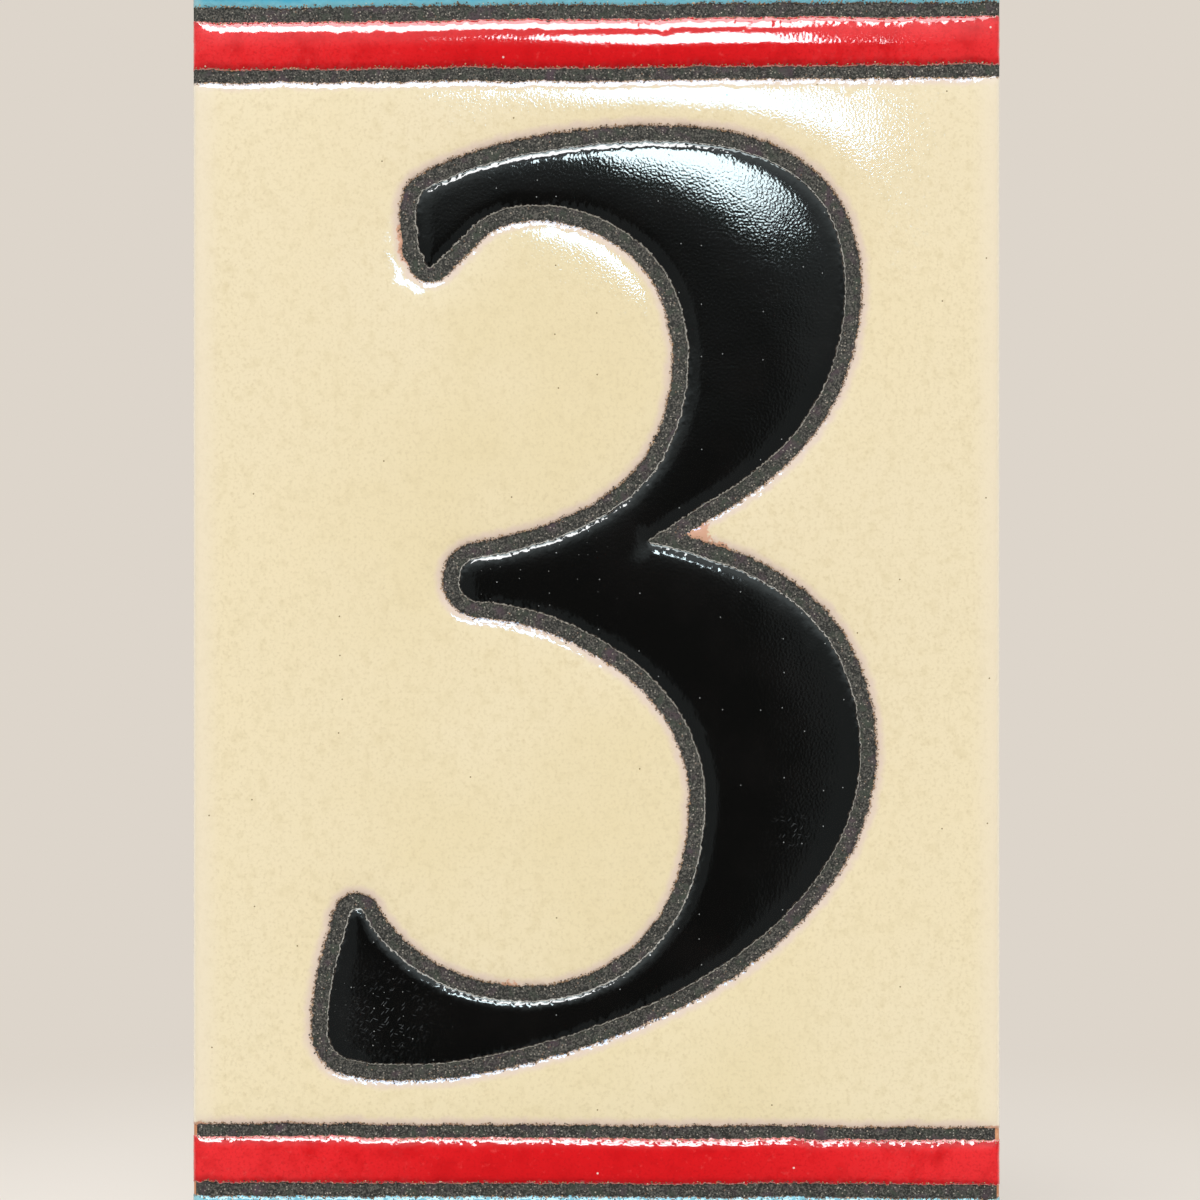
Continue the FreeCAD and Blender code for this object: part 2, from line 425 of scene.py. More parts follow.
def add_mesh(name, points, faces, material, smooth_below=40, **attributes):
    """A finished mesh object from millimetre points, with float attributes on its points."""
    mesh = bpy.data.meshes.new(name)
    mesh.from_pydata((points * MM).tolist(), [], faces)
    for key, values in attributes.items():
        mesh.attributes.new(key, "FLOAT", "POINT").data.foreach_set("value", values)
    mesh.materials.append(material)
    mesh.shade_smooth()
    mesh.set_sharp_from_angle(angle=math.radians(smooth_below))
    mesh.validate()
    piece = bpy.data.objects.new(name, mesh)
    bpy.context.scene.collection.objects.link(piece)
    return piece


def ride_tile(piece):
    """Every piece belongs to the one body and takes the place of the CAD tile."""
    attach(piece, BODY)
    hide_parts(NODE)


def closed_cell(name, loops, rings, spacing, profile, root, material, smooth_below=40):
    """A closed piece of the face: its front follows profile, and its root sits in the clay."""
    places, triangles, distances, rim = cell_mesh(loops, rings, spacing)
    heights, attributes = profile(places, triangles, distances, rim)
    falls = fall(side_distance(places))
    front = np.stack([places.real, FACE - heights + falls, places.imag], axis=1)
    base = front[:rim].copy()
    base[:, 1] = np.maximum(FACE + root, base[:, 1] + LEAST_SIDE)
    points = np.concatenate([front, base])
    faces = triangles.tolist()
    faces += [(b, a, a + len(front), b + len(front)) for a, b in rim_edges(loops)]
    faces += (len(front) + triangulated(places[:rim], loops)[:, ::-1]).tolist()
    extended = {key: np.concatenate([values, values[:rim]]) for key, values in attributes.items()}
    piece = add_mesh(name, points, faces, material, smooth_below, **extended)
    ride_tile(piece)
    return piece


def glaze_profile(height, creep, seed, crown=0.0, crown_creep=4.0):
    """The cushion that one glaze fires to: level beyond creep from its edge, and with a low, wide
    crown where it lies thick. With the mesh go how far each place is from a line, how well the
    glaze covers it, and how scuffed and how dusty it is."""
    def profile(places, triangles, distances, rim):
        rim_height = EDGE_HEIGHT + 0.02 * ripple(places[:rim], 0.6, seed)
        heights = settle(places, triangles, rim, rim_height, height, creep)
        beads = BEAD_SHARE * ripple(places, BEAD_SPACING, seed + 3) * np.exp(-distances / BEAD_REACH)
        heights = heights + LIP_HEIGHT * (1 + beads) * (1 - np.exp(-distances / LIP_REACH))
        if crown:
            heights = heights + settle(places, triangles, rim, 0, crown, crown_creep)
        inner = 1 - np.exp(-distances / 1.5)
        heights = heights + inner * SWELL * ripple(places, 13, seed + 1)
        heights += inner * SWELL / 10 * ripple(places, 3.1, seed + 2)
        drawn = places[:rim][side_distance(places[:rim]) > 0.12]
        from_line = np.array([gap for _, _, gap in nearest(drawn, places)])
        bare = sum(near_spot(places, *spot) * np.exp(-from_line / away) for *spot, away in BARE_SPOTS)
        heights *= 1 - 0.35 * np.clip(bare, 0, 1)
        scuffed = sum(near_spot(places, *spot) for spot in SCUFFS)
        dusty = sum(near_spot(places, *spot) for spot in DUST)
        return heights, {"from_line": from_line, "covered": 1 - bare, "scuffed": scuffed,
                         "dusty": dusty}
    return profile


def near_spot(places, across, up, reach):
    """How near places are to a spot: 1 at its middle, and little beyond its reach."""
    return np.exp(-(abs(places - (across + 1j * up)) / reach) ** 2)


def line_profile(seed):
    """The thin gritty coat of a drawn line."""
    def profile(places, triangles, distances, rim):
        grit = 0.022 * ripple(places, 0.5, seed) + 0.018 * ripple(places, 0.95, seed + 1)
        body = 1 - np.exp(-distances / 0.12)
        heights = 0.02 + 0.08 * body + grit * (0.3 + 0.7 * body)
        return heights, {"from_edge": distances}
    return profile


# Materials

def linear(text):
    """An sRGB hex colour as linear RGBA."""
    channels = [int(text[i:i + 2], 16) / 255 for i in (1, 3, 5)]
    return (*[c / 12.92 if c <= 0.04045 else ((c + 0.055) / 1.055) ** 2.4 for c in channels], 1)


def add(tree, kind, inputs=None, **settings):
    """Add a node. Settings are its properties; inputs are sockets' values, or what feeds them."""
    node = tree.nodes.new(kind)
    for key, value in settings.items():
        setattr(node, key, value)
    for key, value in (inputs or {}).items():
        if isinstance(value, bpy.types.NodeSocket):
            tree.links.new(value, node.inputs[key])
        else:
            node.inputs[key].default_value = value
    return node


def start_material(name, **constants):
    """A material with its shader's constant sockets set, and its place in millimetres."""
    material = bpy.data.materials.new(name)
    material.use_nodes = True
    tree = material.node_tree
    shader = tree.nodes["Principled BSDF"]
    for key, value in constants.items():
        shader.inputs[key.replace("_", " ")].default_value = value
    places = add(tree, "ShaderNodeTexCoord").outputs["Object"]
    scaled = add(tree, "ShaderNodeVectorMath", {0: places, "Scale": 1 / MM}, operation="SCALE")
    return material, tree, shader, scaled.outputs["Vector"]


def patches(tree, place, size, start, stop):
    """Soft-edged patches of a real size, from 0 to 1. What lies from start to stop is the edge."""
    noise = add(tree, "ShaderNodeTexNoise",
                {"Vector": place, "Scale": 1 / size, "Detail": 3.0, "Roughness": 0.55})
    return add(tree, "ShaderNodeMapRange", {"Value": noise.outputs["Fac"], "From Min": start,
                                            "From Max": stop}).outputs["Result"]


def coats(tree, base, *layers):
    """A base colour and the colours laid over it, each as strongly as its mask says."""
    colour = linear(base)
    for coat, mask in layers:
        laid = add(tree, "ShaderNodeMix", {0: mask, 6: colour, 7: linear(coat)}, data_type="RGBA")
        colour = laid.outputs[2]
    return colour


def along(tree, place, attribute, reach, soft, grain, uneven, strength=1.0):
    """A band beside an edge, full within reach of it and gone after soft. Grains of noise push
    the band's border in and out by uneven."""
    distance = add(tree, "ShaderNodeAttribute", attribute_name=attribute).outputs["Fac"]
    noise = add(tree, "ShaderNodeTexNoise", {"Vector": place, "Scale": 1 / grain, "Detail": 2.0})
    push = add(tree, "ShaderNodeMapRange", {"Value": noise.outputs["Fac"], "From Min": 0.3,
                                            "From Max": 0.7, "To Min": -uneven, "To Max": uneven})
    pushed = add(tree, "ShaderNodeMath", {0: distance, 1: push.outputs["Result"]}, operation="ADD")
    return add(tree, "ShaderNodeMapRange",
               {"Value": pushed.outputs["Value"], "From Min": reach, "From Max": reach + soft,
                "To Min": strength, "To Max": 0.0}, interpolation_type="SMOOTHSTEP").outputs["Result"]


def beside_sides(tree, place, reach, soft, strength=1.0):
    """A band along the tile's left and right sides, full within reach and gone after soft."""
    across = add(tree, "ShaderNodeSeparateXYZ", {0: place}).outputs["X"]
    size = add(tree, "ShaderNodeMath", {0: across}, operation="ABSOLUTE").outputs["Value"]
    full = HALF_WIDTH - reach
    return add(tree, "ShaderNodeMapRange",
               {"Value": size, "From Min": full - soft, "From Max": full, "To Max": strength},
               interpolation_type="SMOOTHSTEP").outputs["Result"]


def specks(tree, place, spacing, radius, share, dimensions="2D"):
    """Small round specks, a share of one to each cell of the spacing."""
    cells = add(tree, "ShaderNodeTexVoronoi", {"Vector": place, "Scale": 1 / spacing},
                voronoi_dimensions=dimensions)
    chosen = add(tree, "ShaderNodeSeparateColor", {0: cells.outputs["Color"]}).outputs["Red"]
    picked = add(tree, "ShaderNodeMath", {0: chosen, 1: share}, operation="LESS_THAN")
    return add(tree, "ShaderNodeMapRange",
               {"Value": cells.outputs["Distance"], "From Min": radius * 0.6 / spacing,
                "From Max": radius / spacing, "To Min": picked.outputs["Value"], "To Max": 0.0},
               interpolation_type="SMOOTHSTEP").outputs["Result"]


def worn(tree, attribute, marks):
    """Marks only where an attribute of the mesh says, as strongly as it says."""
    share = add(tree, "ShaderNodeAttribute", attribute_name=attribute).outputs["Fac"]
    return add(tree, "ShaderNodeMath", {0: marks, 1: share}, operation="MULTIPLY").outputs["Value"]


def on_face(tree, place, degrees=0, stretch=1):
    """The place across the tile's face, turned, and drawn out so that specks become scratches."""
    turn = (-math.pi / 2, 0, math.radians(degrees))
    turned = add(tree, "ShaderNodeVectorRotate", {"Vector": place, "Rotation": turn},
                 rotation_type="EULER_XYZ")
    return add(tree, "ShaderNodeVectorMath",
               {0: turned.outputs["Vector"], 1: (1.0, 1.0 / stretch, 1.0)},
               operation="MULTIPLY").outputs["Vector"]


def relief(tree, shader, place, layers):
    """Bump in layers of size and depth, both in millimetres."""
    normal = None
    for size, depth in layers:
        noise = add(tree, "ShaderNodeTexNoise", {"Vector": place, "Scale": 1 / size, "Detail": 0.6})
        bump = add(tree, "ShaderNodeBump",
                   {"Height": noise.outputs["Fac"], "Strength": 1.0, "Distance": depth * MM})
        if normal:
            tree.links.new(normal, bump.inputs["Normal"])
        normal = bump.outputs["Normal"]
    tree.links.new(normal, shader.inputs["Normal"])


def cream_glaze():
    """Opaque cream tin glaze, flooded on and fired glossy: a warm, faintly mottled ground that
    pales to pink where it thins over the clay, painted lighter towards the tile's sides as painted
    light, with a painted highlight on the arris. A cool tint keeps its reflections white, and its
    orange-peel surface breaks up their edges."""
    material, tree, shader, place = start_material("cream_tin_glaze", Roughness=0.06, IOR=1.85,
                                                   Specular_Tint=linear("#8CCAFF"))
    colour = coats(
        tree, "#EDDFB8",
        # painted light: the ground lightens towards the tile's sides, where the light falls stronger
        ("#F9ECCD", beside_sides(tree, place, 3, 24, 0.4)),
        ("#F1E4C2", patches(tree, place, 22, 0.38, 0.62)),
        ("#E3D4AC", patches(tree, place, 0.9, 0.5, 0.95)),
        ("#DCCCA4", patches(tree, place, 0.3, 0.5, 0.9)),
        ("#E6D2C4", along(tree, place, "from_line", 0.35, 0.75, 0.9, 0.12, 0.85)),
        # a paler strip along the sides: the glaze thinning there, lightened as painted light against
        # the shade of the rounded arris
        ("#F2E6CE", beside_sides(tree, place, 0.5, 2.6, 0.7)),
        # painted highlight: a bright hairline on the glaze's rounded arris at the tile's sides
        ("#FFF5DF", beside_sides(tree, place, 0.1, 0.4, 0.9)),
        ("#D3BDAE", along(tree, place, "from_line", 0.12, 0.22, 0.4, 0.12, 0.7)),
        ("#8F6F50", along(tree, place, "from_line", 0.05, 0.1, 0.2, 0.22, 0.8)),
        ("#4B4640", along(tree, place, "from_line", 0.04, 0.05, 0.15, 0.17)),
        ("#DDAA8E", along(tree, place, "covered", 0.5, 0.2, 0.3, 0.2, 0.9)),
        ("#8A764F", specks(tree, on_face(tree, place), 4.0, 0.09, 0.12)),
    )
    tree.links.new(colour, shader.inputs["Base Color"])
    relief(tree, shader, place, ((3.0, 0.003), (0.2, 0.009)))
    return material


def black_glaze():
    """Thick black lead glaze, fired to a deep mirror gloss: almost no colour of its own, a pale grey
    rim beside the line that is a painted highlight of its lip, and kiln dust and hair scratches that
    catch the light."""
    material, tree, shader, place = start_material("black_gloss_glaze", Roughness=0.07, IOR=1.8,
                                                   Specular_IOR_Level=0.65)
    face = on_face(tree, place)
    hairs = specks(tree, on_face(tree, place, 24, 14), 1.6, 0.05, 0.02)
    steep = specks(tree, on_face(tree, place, 40, 6), 0.26, 0.045, 0.5)
    slack = specks(tree, on_face(tree, place, 104, 5), 0.3, 0.045, 0.4)
    rubs = add(tree, "ShaderNodeMath", {0: steep, 1: slack}, operation="MAXIMUM").outputs["Value"]
    colour = coats(
        tree, "#070605",
        ("#0D0B0A", patches(tree, place, 7, 0.45, 0.7)),
        # painted highlight: a pale grey rim where the glaze's lip meets the line
        ("#BDBBB4", along(tree, place, "from_line", 0.06, 0.08, 0.24, 0.07)),
        ("#A3A8A8", specks(tree, face, 1.9, 0.06, 0.16)),
        ("#A7ACAC", hairs),
        ("#4A4D4F", worn(tree, "scuffed", rubs)),
        ("#A9ADAC", worn(tree, "dusty", specks(tree, face, 0.9, 0.045, 0.2))),
    )
    tree.links.new(colour, shader.inputs["Base Color"])
    relief(tree, shader, place, ((3.0, 0.003), (0.24, 0.008)))
    return material


def red_glaze():
    """Selenium red glaze, glossy and slightly streaky: darker near the lines as painted shade,
    pale pink where it breaks over the line below."""
    material, tree, shader, place = start_material("selenium_red_glaze", Roughness=0.07, IOR=1.8,
                                                   Specular_IOR_Level=0.65)
    colour = coats(
        tree, "#DE171D",
        ("#EE2A2F", beside_sides(tree, place, 4, 26)),
        ("#CF1016", patches(tree, place, 2.4, 0.48, 0.78)),
        ("#EA4444", patches(tree, place, 0.7, 0.62, 0.85)),
        ("#C51319", patches(tree, place, 0.26, 0.5, 0.85)),
        ("#F3D3CE", specks(tree, on_face(tree, place), 4.5, 0.12, 0.14)),
        # painted shade: the red is darker near the lines
        ("#BE1217", along(tree, place, "from_line", 0.3, 0.5, 0.8, 0.1, 0.6)),
        ("#E5A39C", along(tree, place, "from_line", 0.06, 0.09, 0.3, 0.08, 0.85)),
    )
    tree.links.new(colour, shader.inputs["Base Color"])
    relief(tree, shader, place, ((2.4, 0.004), (0.3, 0.007)))
    return material


def blue_glaze():
    """Sky blue copper and tin glaze, glossy, with a cloudy ground that thins at its edges."""
    material, tree, shader, place = start_material("sky_blue_glaze", Roughness=0.06, IOR=1.55)
    colour = coats(
        tree, "#46A9C9",
        ("#58B8D4", patches(tree, place, 11, 0.35, 0.65)),
        ("#3797BA", patches(tree, place, 1.2, 0.5, 0.8)),
        ("#8CCBDA", along(tree, place, "from_line", 0.25, 0.7, 0.9, 0.1, 0.7)),
        ("#9CC9CF", beside_sides(tree, place, 0.3, 0.9, 0.7)),
        ("#6A5F55", along(tree, place, "from_line", 0.06, 0.07, 0.18, 0.12)),
        ("#2F6D84", specks(tree, on_face(tree, place), 4.0, 0.1, 0.2)),
    )
    tree.links.new(colour, shader.inputs["Base Color"])
    relief(tree, shader, place, ((3.0, 0.003), (0.3, 0.0065)))
    return material


def drawn_line():
    """Manganese and grease line, fired dry: charcoal, matt and gritty like fine sandpaper, with
    greenish and purplish casts."""
    material, tree, shader, place = start_material("manganese_line", Roughness=0.82, IOR=1.45)
    colour = coats(
        tree, "#2A2A27",
        ("#63615B", patches(tree, place, 0.16, 0.46, 0.62)),
        ("#3F463C", patches(tree, place, 1.1, 0.52, 0.7)),
        ("#4E4047", patches(tree, place, 1.7, 0.55, 0.72)),
        ("#9A958B", specks(tree, on_face(tree, place), 0.36, 0.08, 0.2)),
    )
    tree.links.new(colour, shader.inputs["Base Color"])
    relief(tree, shader, place, ((0.3, 0.05), (0.14, 0.025)))
    return material


def line_grit():
    """Grains of the manganese mix that stand up from the drawn lines: charcoal, grey and rust."""
    return grit("manganese_grit", ((0.0, "#1F1E1D"), (0.5, "#3B3A37"), (0.74, "#6B6861"),
                                   (0.86, "#8B877E"), (0.94, "#7C5E49"), (1.0, "#BDB7AB")))


def fringe_grit():
    """Grains that the glazes caught along a line and stained: umber and ochre, some half glazed."""
    return grit("stained_grit", ((0.0, "#36302A"), (0.3, "#64533F"), (0.55, "#8A6E50"),
                                 (0.75, "#A9845B"), (0.9, "#C09A70"), (1.0, "#E0D2B8")))


def grit(name, stops):
    """Dry grains, each with its own tone from the stops."""
    material, tree, shader, place = start_material(name, Roughness=0.6, IOR=1.5)
    tone = add(tree, "ShaderNodeAttribute", attribute_name="grain_tone").outputs["Fac"]
    ramp = add(tree, "ShaderNodeValToRGB", {0: tone})
    for position, colour in stops[1:-1]:
        ramp.color_ramp.elements.new(position).color = linear(colour)
    ramp.color_ramp.elements[0].color = linear(stops[0][1])
    ramp.color_ramp.elements[-1].color = linear(stops[-1][1])
    tree.links.new(ramp.outputs["Color"], shader.inputs["Base Color"])
    relief(tree, shader, place, ((0.1, 0.01),))
    return material


def fired_clay():
    """Pressed red earthenware, fired unglazed: chalky terracotta with sandy grog, pin pores and
    paler dust, rough to the touch."""
    material, tree, shader, place = start_material("red_earthenware", Roughness=0.92, IOR=1.4)
    colour = coats(
        tree, "#C4835F",
        ("#D29873", patches(tree, place, 9, 0.35, 0.65)),
        ("#B9744F", patches(tree, place, 1.6, 0.5, 0.72)),
        ("#E0B593", patches(tree, place, 0.5, 0.6, 0.72)),
        ("#E8CDB4", specks(tree, place, 1.7, 0.2, 0.4, "3D")),
        ("#7C4A33", specks(tree, place, 1.2, 0.12, 0.35, "3D")),
    )
    tree.links.new(colour, shader.inputs["Base Color"])
    relief(tree, shader, place, ((1.4, 0.06), (0.35, 0.035), (0.15, 0.012)))
    return material


# The pieces

def make_glazes():
    """Every glaze cell of the face. The numeral's outline is needed again for its line, and the
    glazes outside it for the grit that they caught."""
    across = np.arange(-HALF_WIDTH, HALF_WIDTH + 0.01, 0.2)
    edges = {(name, side): ruled_edge(name, side, across) for name in RULED for side in (1, -1)}
    outline = numeral_outline(0.2)
    cream = cream_glaze()
    black = black_glaze()
    red = red_glaze()
    blue = blue_glaze()

    numeral = ragged(outline, 0.08, 11)
    thick = glaze_profile(height=0.42, creep=0.36, seed=21, crown=0.3, crown_creep=5.0)
    closed_cell("black_numeral", [numeral], GLAZE_RINGS + (1.7, 2.2), 0.55, thick, GLAZE_ROOT,
                black)

    field = strip_loop(edges["lower_field_line", 1], edges["upper_field_line", -1])
    hole = ragged(grown(outline, NUMERAL_LINE - 0.06), 0.10, 12)[::-1]
    even = glaze_profile(height=0.36, creep=0.38, seed=22, crown=0.28, crown_creep=3.0)
    glazes = [closed_cell("cream_field", [ragged_strip(field, 31), hole], GLAZE_RINGS, 0.75, even,
                          GLAZE_ROOT, cream)]

    bands = (("red_band_upper", "upper_field_line", "upper_end_line", 41, 0.716, 0.8),
             ("red_band_lower", "lower_end_line", "lower_field_line", 42, 0.56, 0.5))
    for name, below, above, seed, height, creep in bands:
        loop = ragged_strip(strip_loop(edges[below, 1], edges[above, -1]), seed)
        domed = glaze_profile(height=height, creep=creep, seed=seed)
        glazes.append(closed_cell(name, [loop], GLAZE_RINGS, 0.5, domed, GLAZE_ROOT, red))

    ends = (("blue_end_upper", edges["upper_end_line", 1], True, 51),
            ("blue_end_lower", edges["lower_end_line", -1], False, 52))
    for name, edge, upper, seed in ends:
        loop = ragged_strip(end_loop(edge, upper), seed)
        level = glaze_profile(height=0.42, creep=0.45, seed=seed)
        glazes.append(closed_cell(name, [loop], GLAZE_RINGS, 0.75, level, GLAZE_ROOT, blue))
    return outline, glazes


def ragged_strip(loop, seed):
    """Ragged edges along the lines, while the tile's sides stay nearly straight."""
    moved = ragged(loop, 0.09, seed)
    at_side = side_distance(loop) < 0.05
    held = loop + inward(loop) * np.maximum(0.02 + 0.02 * ripple(loop, 1.4, seed + 5), 0)
    return np.where(at_side, held, moved)


def make_lines(outline):
    """The drawn lines, each a thin gritty ribbon that runs just under the glazes' edges."""
    material = drawn_line()
    overlap = 0.2
    spacing = 0.26
    smooth_below = 80
    ring = [grown(outline, NUMERAL_LINE + overlap), grown(outline, -overlap)[::-1]]
    lines = [closed_cell("drawn_line_numeral", ring, LINE_RINGS, spacing, line_profile(61),
                         LINE_ROOT, material, smooth_below)]
    for seed, (name, (_, _, _, short)) in enumerate(RULED.items(), start=62):
        reach = HALF_WIDTH - GLAZE_LIP - short
        across = np.arange(-reach, reach + 0.01, spacing)
        lower = ruled_edge(name, -1, across) - 1j * overlap
        upper = ruled_edge(name, 1, across) + 1j * overlap
        lines.append(closed_cell(f"drawn_{name}", [strip_loop(lower, upper)], LINE_RINGS, spacing,
                                 line_profile(seed), LINE_ROOT, material,
                                 smooth_below))
    return lines


def scatter_tree(material):
    """Geometry Nodes that strew grains over a surface and turn them into plain mesh."""
    tree = bpy.data.node_groups.new("strewn_grains", "GeometryNodeTree")
    sockets = {}
    tree.interface.new_socket("Geometry", in_out="INPUT", socket_type="NodeSocketGeometry")
    tree.interface.new_socket("Geometry", in_out="OUTPUT", socket_type="NodeSocketGeometry")
    for name in ("Grains per square metre", "Smallest", "Largest", "Flatness"):
        made = tree.interface.new_socket(name, in_out="INPUT", socket_type="NodeSocketFloat")
        sockets[name] = made.identifier
    given = add(tree, "NodeGroupInput").outputs
    strewn = add(tree, "GeometryNodeDistributePointsOnFaces",
                 {"Mesh": given["Geometry"], "Density": given["Grains per square metre"], "Seed": 7})
    grain = add(tree, "GeometryNodeMeshIcoSphere", {"Radius": 1.0, "Subdivisions": 1})
    squashed = add(tree, "ShaderNodeCombineXYZ", {0: 1.0, 1: 1.0, 2: given["Flatness"]})
    flat = add(tree, "GeometryNodeTransform", {"Geometry": grain.outputs["Mesh"],
                                               "Scale": squashed.outputs["Vector"]})
    size = add(tree, "FunctionNodeRandomValue",
               {2: given["Smallest"], 3: given["Largest"], "Seed": 3}, data_type="FLOAT")
    spin = add(tree, "FunctionNodeRandomValue",
               {0: (0.0, 0.0, 0.0), 1: (0.6, 0.6, 6.28), "Seed": 5}, data_type="FLOAT_VECTOR")
    turned = add(tree, "FunctionNodeRotateRotation",
                 {0: strewn.outputs["Rotation"], 1: spin.outputs["Value"]}, rotation_space="LOCAL")
    placed = add(tree, "GeometryNodeInstanceOnPoints",
                 {"Points": strewn.outputs["Points"], "Instance": flat.outputs["Geometry"],
                  "Rotation": turned.outputs["Rotation"], "Scale": size.outputs[1]})
    tone = add(tree, "FunctionNodeRandomValue", {2: 0.0, 3: 1.0, "Seed": 9}, data_type="FLOAT")
    toned = add(tree, "GeometryNodeStoreNamedAttribute",
                {"Geometry": placed.outputs["Instances"], "Name": "grain_tone",
                 "Value": tone.outputs[1]}, data_type="FLOAT", domain="INSTANCE")
    plain = add(tree, "GeometryNodeRealizeInstances", {"Geometry": toned.outputs["Geometry"]})
    painted = add(tree, "GeometryNodeSetMaterial",
                  {"Geometry": plain.outputs["Geometry"], "Material": material})
    add(tree, "NodeGroupOutput", {"Geometry": painted.outputs["Geometry"]})
    return tree, sockets


def strew_grains(name, carrier, per_square_mm, radii, material):
    """Grains over a carrier, as one plain mesh."""
    tree, sockets = scatter_tree(material)
    copy = bpy.data.objects.new(name, carrier)
    bpy.context.scene.collection.objects.link(copy)
    modifier = copy.modifiers.new("grains", "NODES")
    modifier.node_group = tree
    modifier[sockets["Grains per square metre"]] = per_square_mm / MM ** 2
    modifier[sockets["Smallest"]] = radii[0] * MM
    modifier[sockets["Largest"]] = radii[1] * MM
    modifier[sockets["Flatness"]] = GRAIN_FLATNESS
    view = bpy.context.evaluated_depsgraph_get()
    mesh = bpy.data.meshes.new_from_object(copy.evaluated_get(view))
    copy.modifiers.remove(modifier)
    copy.data = mesh
    mesh.name = name
    ride_tile(copy)


def grain_bed(pieces, attribute, least, most):
    """Every piece's front where its attribute lies between two values, for grains to lie on. It
    keeps off the tile's sides, so that no grain stands out over them."""
    side = (HALF_WIDTH - GRAIN_MARGIN) * MM
    points, faces = [], []
    for piece in pieces:
        mesh = piece.data
        away = np.zeros(len(mesh.vertices), np.float32)
        mesh.attributes[attribute].data.foreach_get("value", away)
        place = np.zeros(len(mesh.vertices) * 3, np.float32)
        mesh.vertices.foreach_get("co", place)
        place = place.reshape(-1, 3)
        aside = abs(place[:, 0])
        first = len(points)
        points += place.tolist()
        for face in mesh.polygons:
            corners = list(face.vertices)
            within = least < away[corners].min() and away[corners].max() < most
            if within and face.normal.y < -0.2 and aside[corners].max() < side:
                faces.append([first + corner for corner in corners])
    bed = bpy.data.meshes.new("grain_bed")
    bed.from_pydata(points, [], faces)
    return bed


def make_grit(lines, glazes):
    """Grains down the bare middle of every line, and along the edges of the glazes beside it."""
    bare_middle = grain_bed(lines, "from_edge", 0.12, 9)
    strew_grains("line_grit", bare_middle, 7.0, LINE_GRAINS, line_grit())
    fringe = grain_bed(glazes, "from_line", -1, 0.33)
    strew_grains("fringe_grit", fringe, 14.0, FRINGE_GRAINS, fringe_grit())


def lofted(loops, levels):
    """Quads between loops of equal count at given levels, front to back."""
    count = len(loops[0])
    rows = [np.stack([loop.real, np.broadcast_to(level, count), loop.imag], axis=1)
            for loop, level in zip(loops, levels)]
    faces = []
    for row in range(len(loops) - 1):
        for here in range(count):
            there = (here + 1) % count
            a, b = row * count + here, row * count + there
            faces.append((b, a, a + count, b + count))
    return np.concatenate(rows), faces


def groove_loop(centre, inset):
    """The anticlockwise outline of a keying groove, made smaller by inset."""
    wide = GROOVE_WIDTH / 2 - inset
    tall = GROOVE_LENGTH / 2 - inset
    corners = [centre - wide - 1j * tall, centre + wide - 1j * tall,
               centre + wide + 1j * tall, centre - wide + 1j * tall]
    runs = []
    for start, end in zip(corners, corners[1:] + corners[:1]):
        count = max(3, round(abs(end - start) / 1.1))
        runs.append(start + (end - start) * np.arange(count) / count)
    return np.concatenate(runs)


def make_clay():
    """The pressed clay body: rounded front arris, uneven sides and a back keyed with grooves."""
    loops, levels = clay_sides(0.55)
    rim = loops[-1]
    shell, faces = lofted(loops, levels)
    faces += triangulated(loops[0], [loops[0]]).tolist()
    back, triangles = clay_back(rim)
    start = len(shell) - len(rim)
    faces += [tuple(start + corner for corner in reversed(face)) for face in triangles]
    points = np.concatenate([shell, back[len(rim):]])
    piece = add_mesh("clay_body", points, faces, fired_clay(), 35)
    ride_tile(piece)


def clay_sides(spacing):
    """The clay's sides as loops, front to back, and the depth of each: the rounded arris, the
    sides with the dents of handling, and the back's chamfer."""
    turns = np.linspace(0, math.pi / 2, 5)
    loops = [tile_outline(GLAZE_LIP + ARRIS_RADIUS * (1 - math.sin(turn)), spacing) for turn in turns]
    levels = [FACE + ARRIS_RADIUS * (1 - math.cos(turn)) for turn in turns]
    side = tile_outline(GLAZE_LIP, spacing)
    for level in np.arange(FACE + ARRIS_RADIUS + 0.5, -BACK_CHAMFER - 0.2, 0.5):
        points = np.stack([side.real, np.full(len(side), level), side.imag], axis=1)
        dents = 0.025 * (1 + ripple(points, 2.2, 71)) + 0.012 * (1 + ripple(points, 0.9, 72))
        loops.append(side + inward(side) * dents)
        levels.append(level)
    loops += [side, tile_outline(GLAZE_LIP + BACK_CHAMFER / 2, spacing),
              tile_outline(GLAZE_LIP + BACK_CHAMFER, spacing)]
    levels += [-BACK_CHAMFER, -BACK_CHAMFER / 2 + 0.04, 0.0]
    return loops, levels


def clay_back(rim):
    """The slightly uneven back with its keying grooves: its points, those of its rim first, and
    its triangles."""
    centres = (np.arange(GROOVE_COUNT) - (GROOVE_COUNT - 1) / 2) * GROOVE_PITCH
    lips = [groove_loop(centre, 0) for centre in centres]
    floors = [groove_loop(centre, GROOVE_DRAFT) for centre in centres]
    across, up = np.arange(-36, 36.1, 1.2), np.arange(-73, 73.1, 1.2)
    grid = (across[None, :] + 1j * up[:, None]).ravel()
    keyed = np.concatenate(lips + floors)
    gaps = np.array([gap for _, _, gap in nearest(keyed, grid)])
    grid = grid[gaps > 0.6]
    back = np.concatenate([rim] + lips + floors + [grid])
    triangles = triangulated(back, [rim], rim_edges(lips + floors, len(rim)))
    sunk = 0.02 * np.maximum(1 + ripple(back, 6, 73), 0) * (side_distance(back) > 1.5)
    level = -groove_depth(back, centres) - sunk
    return np.stack([back.real, level, back.imag], axis=1), triangles


def groove_depth(places, centres):
    """How deep the keying grooves are at each place of the back."""
    gap = np.min([np.maximum(abs(places.real - centre) - GROOVE_WIDTH / 2,
                             abs(places.imag) - GROOVE_LENGTH / 2) for centre in centres], axis=0)
    return GROOVE_DEPTH * np.clip(-gap / GROOVE_DRAFT, 0, 1)


# The stage, the light and the camera

BACKGROUND = "#DDD5CB"


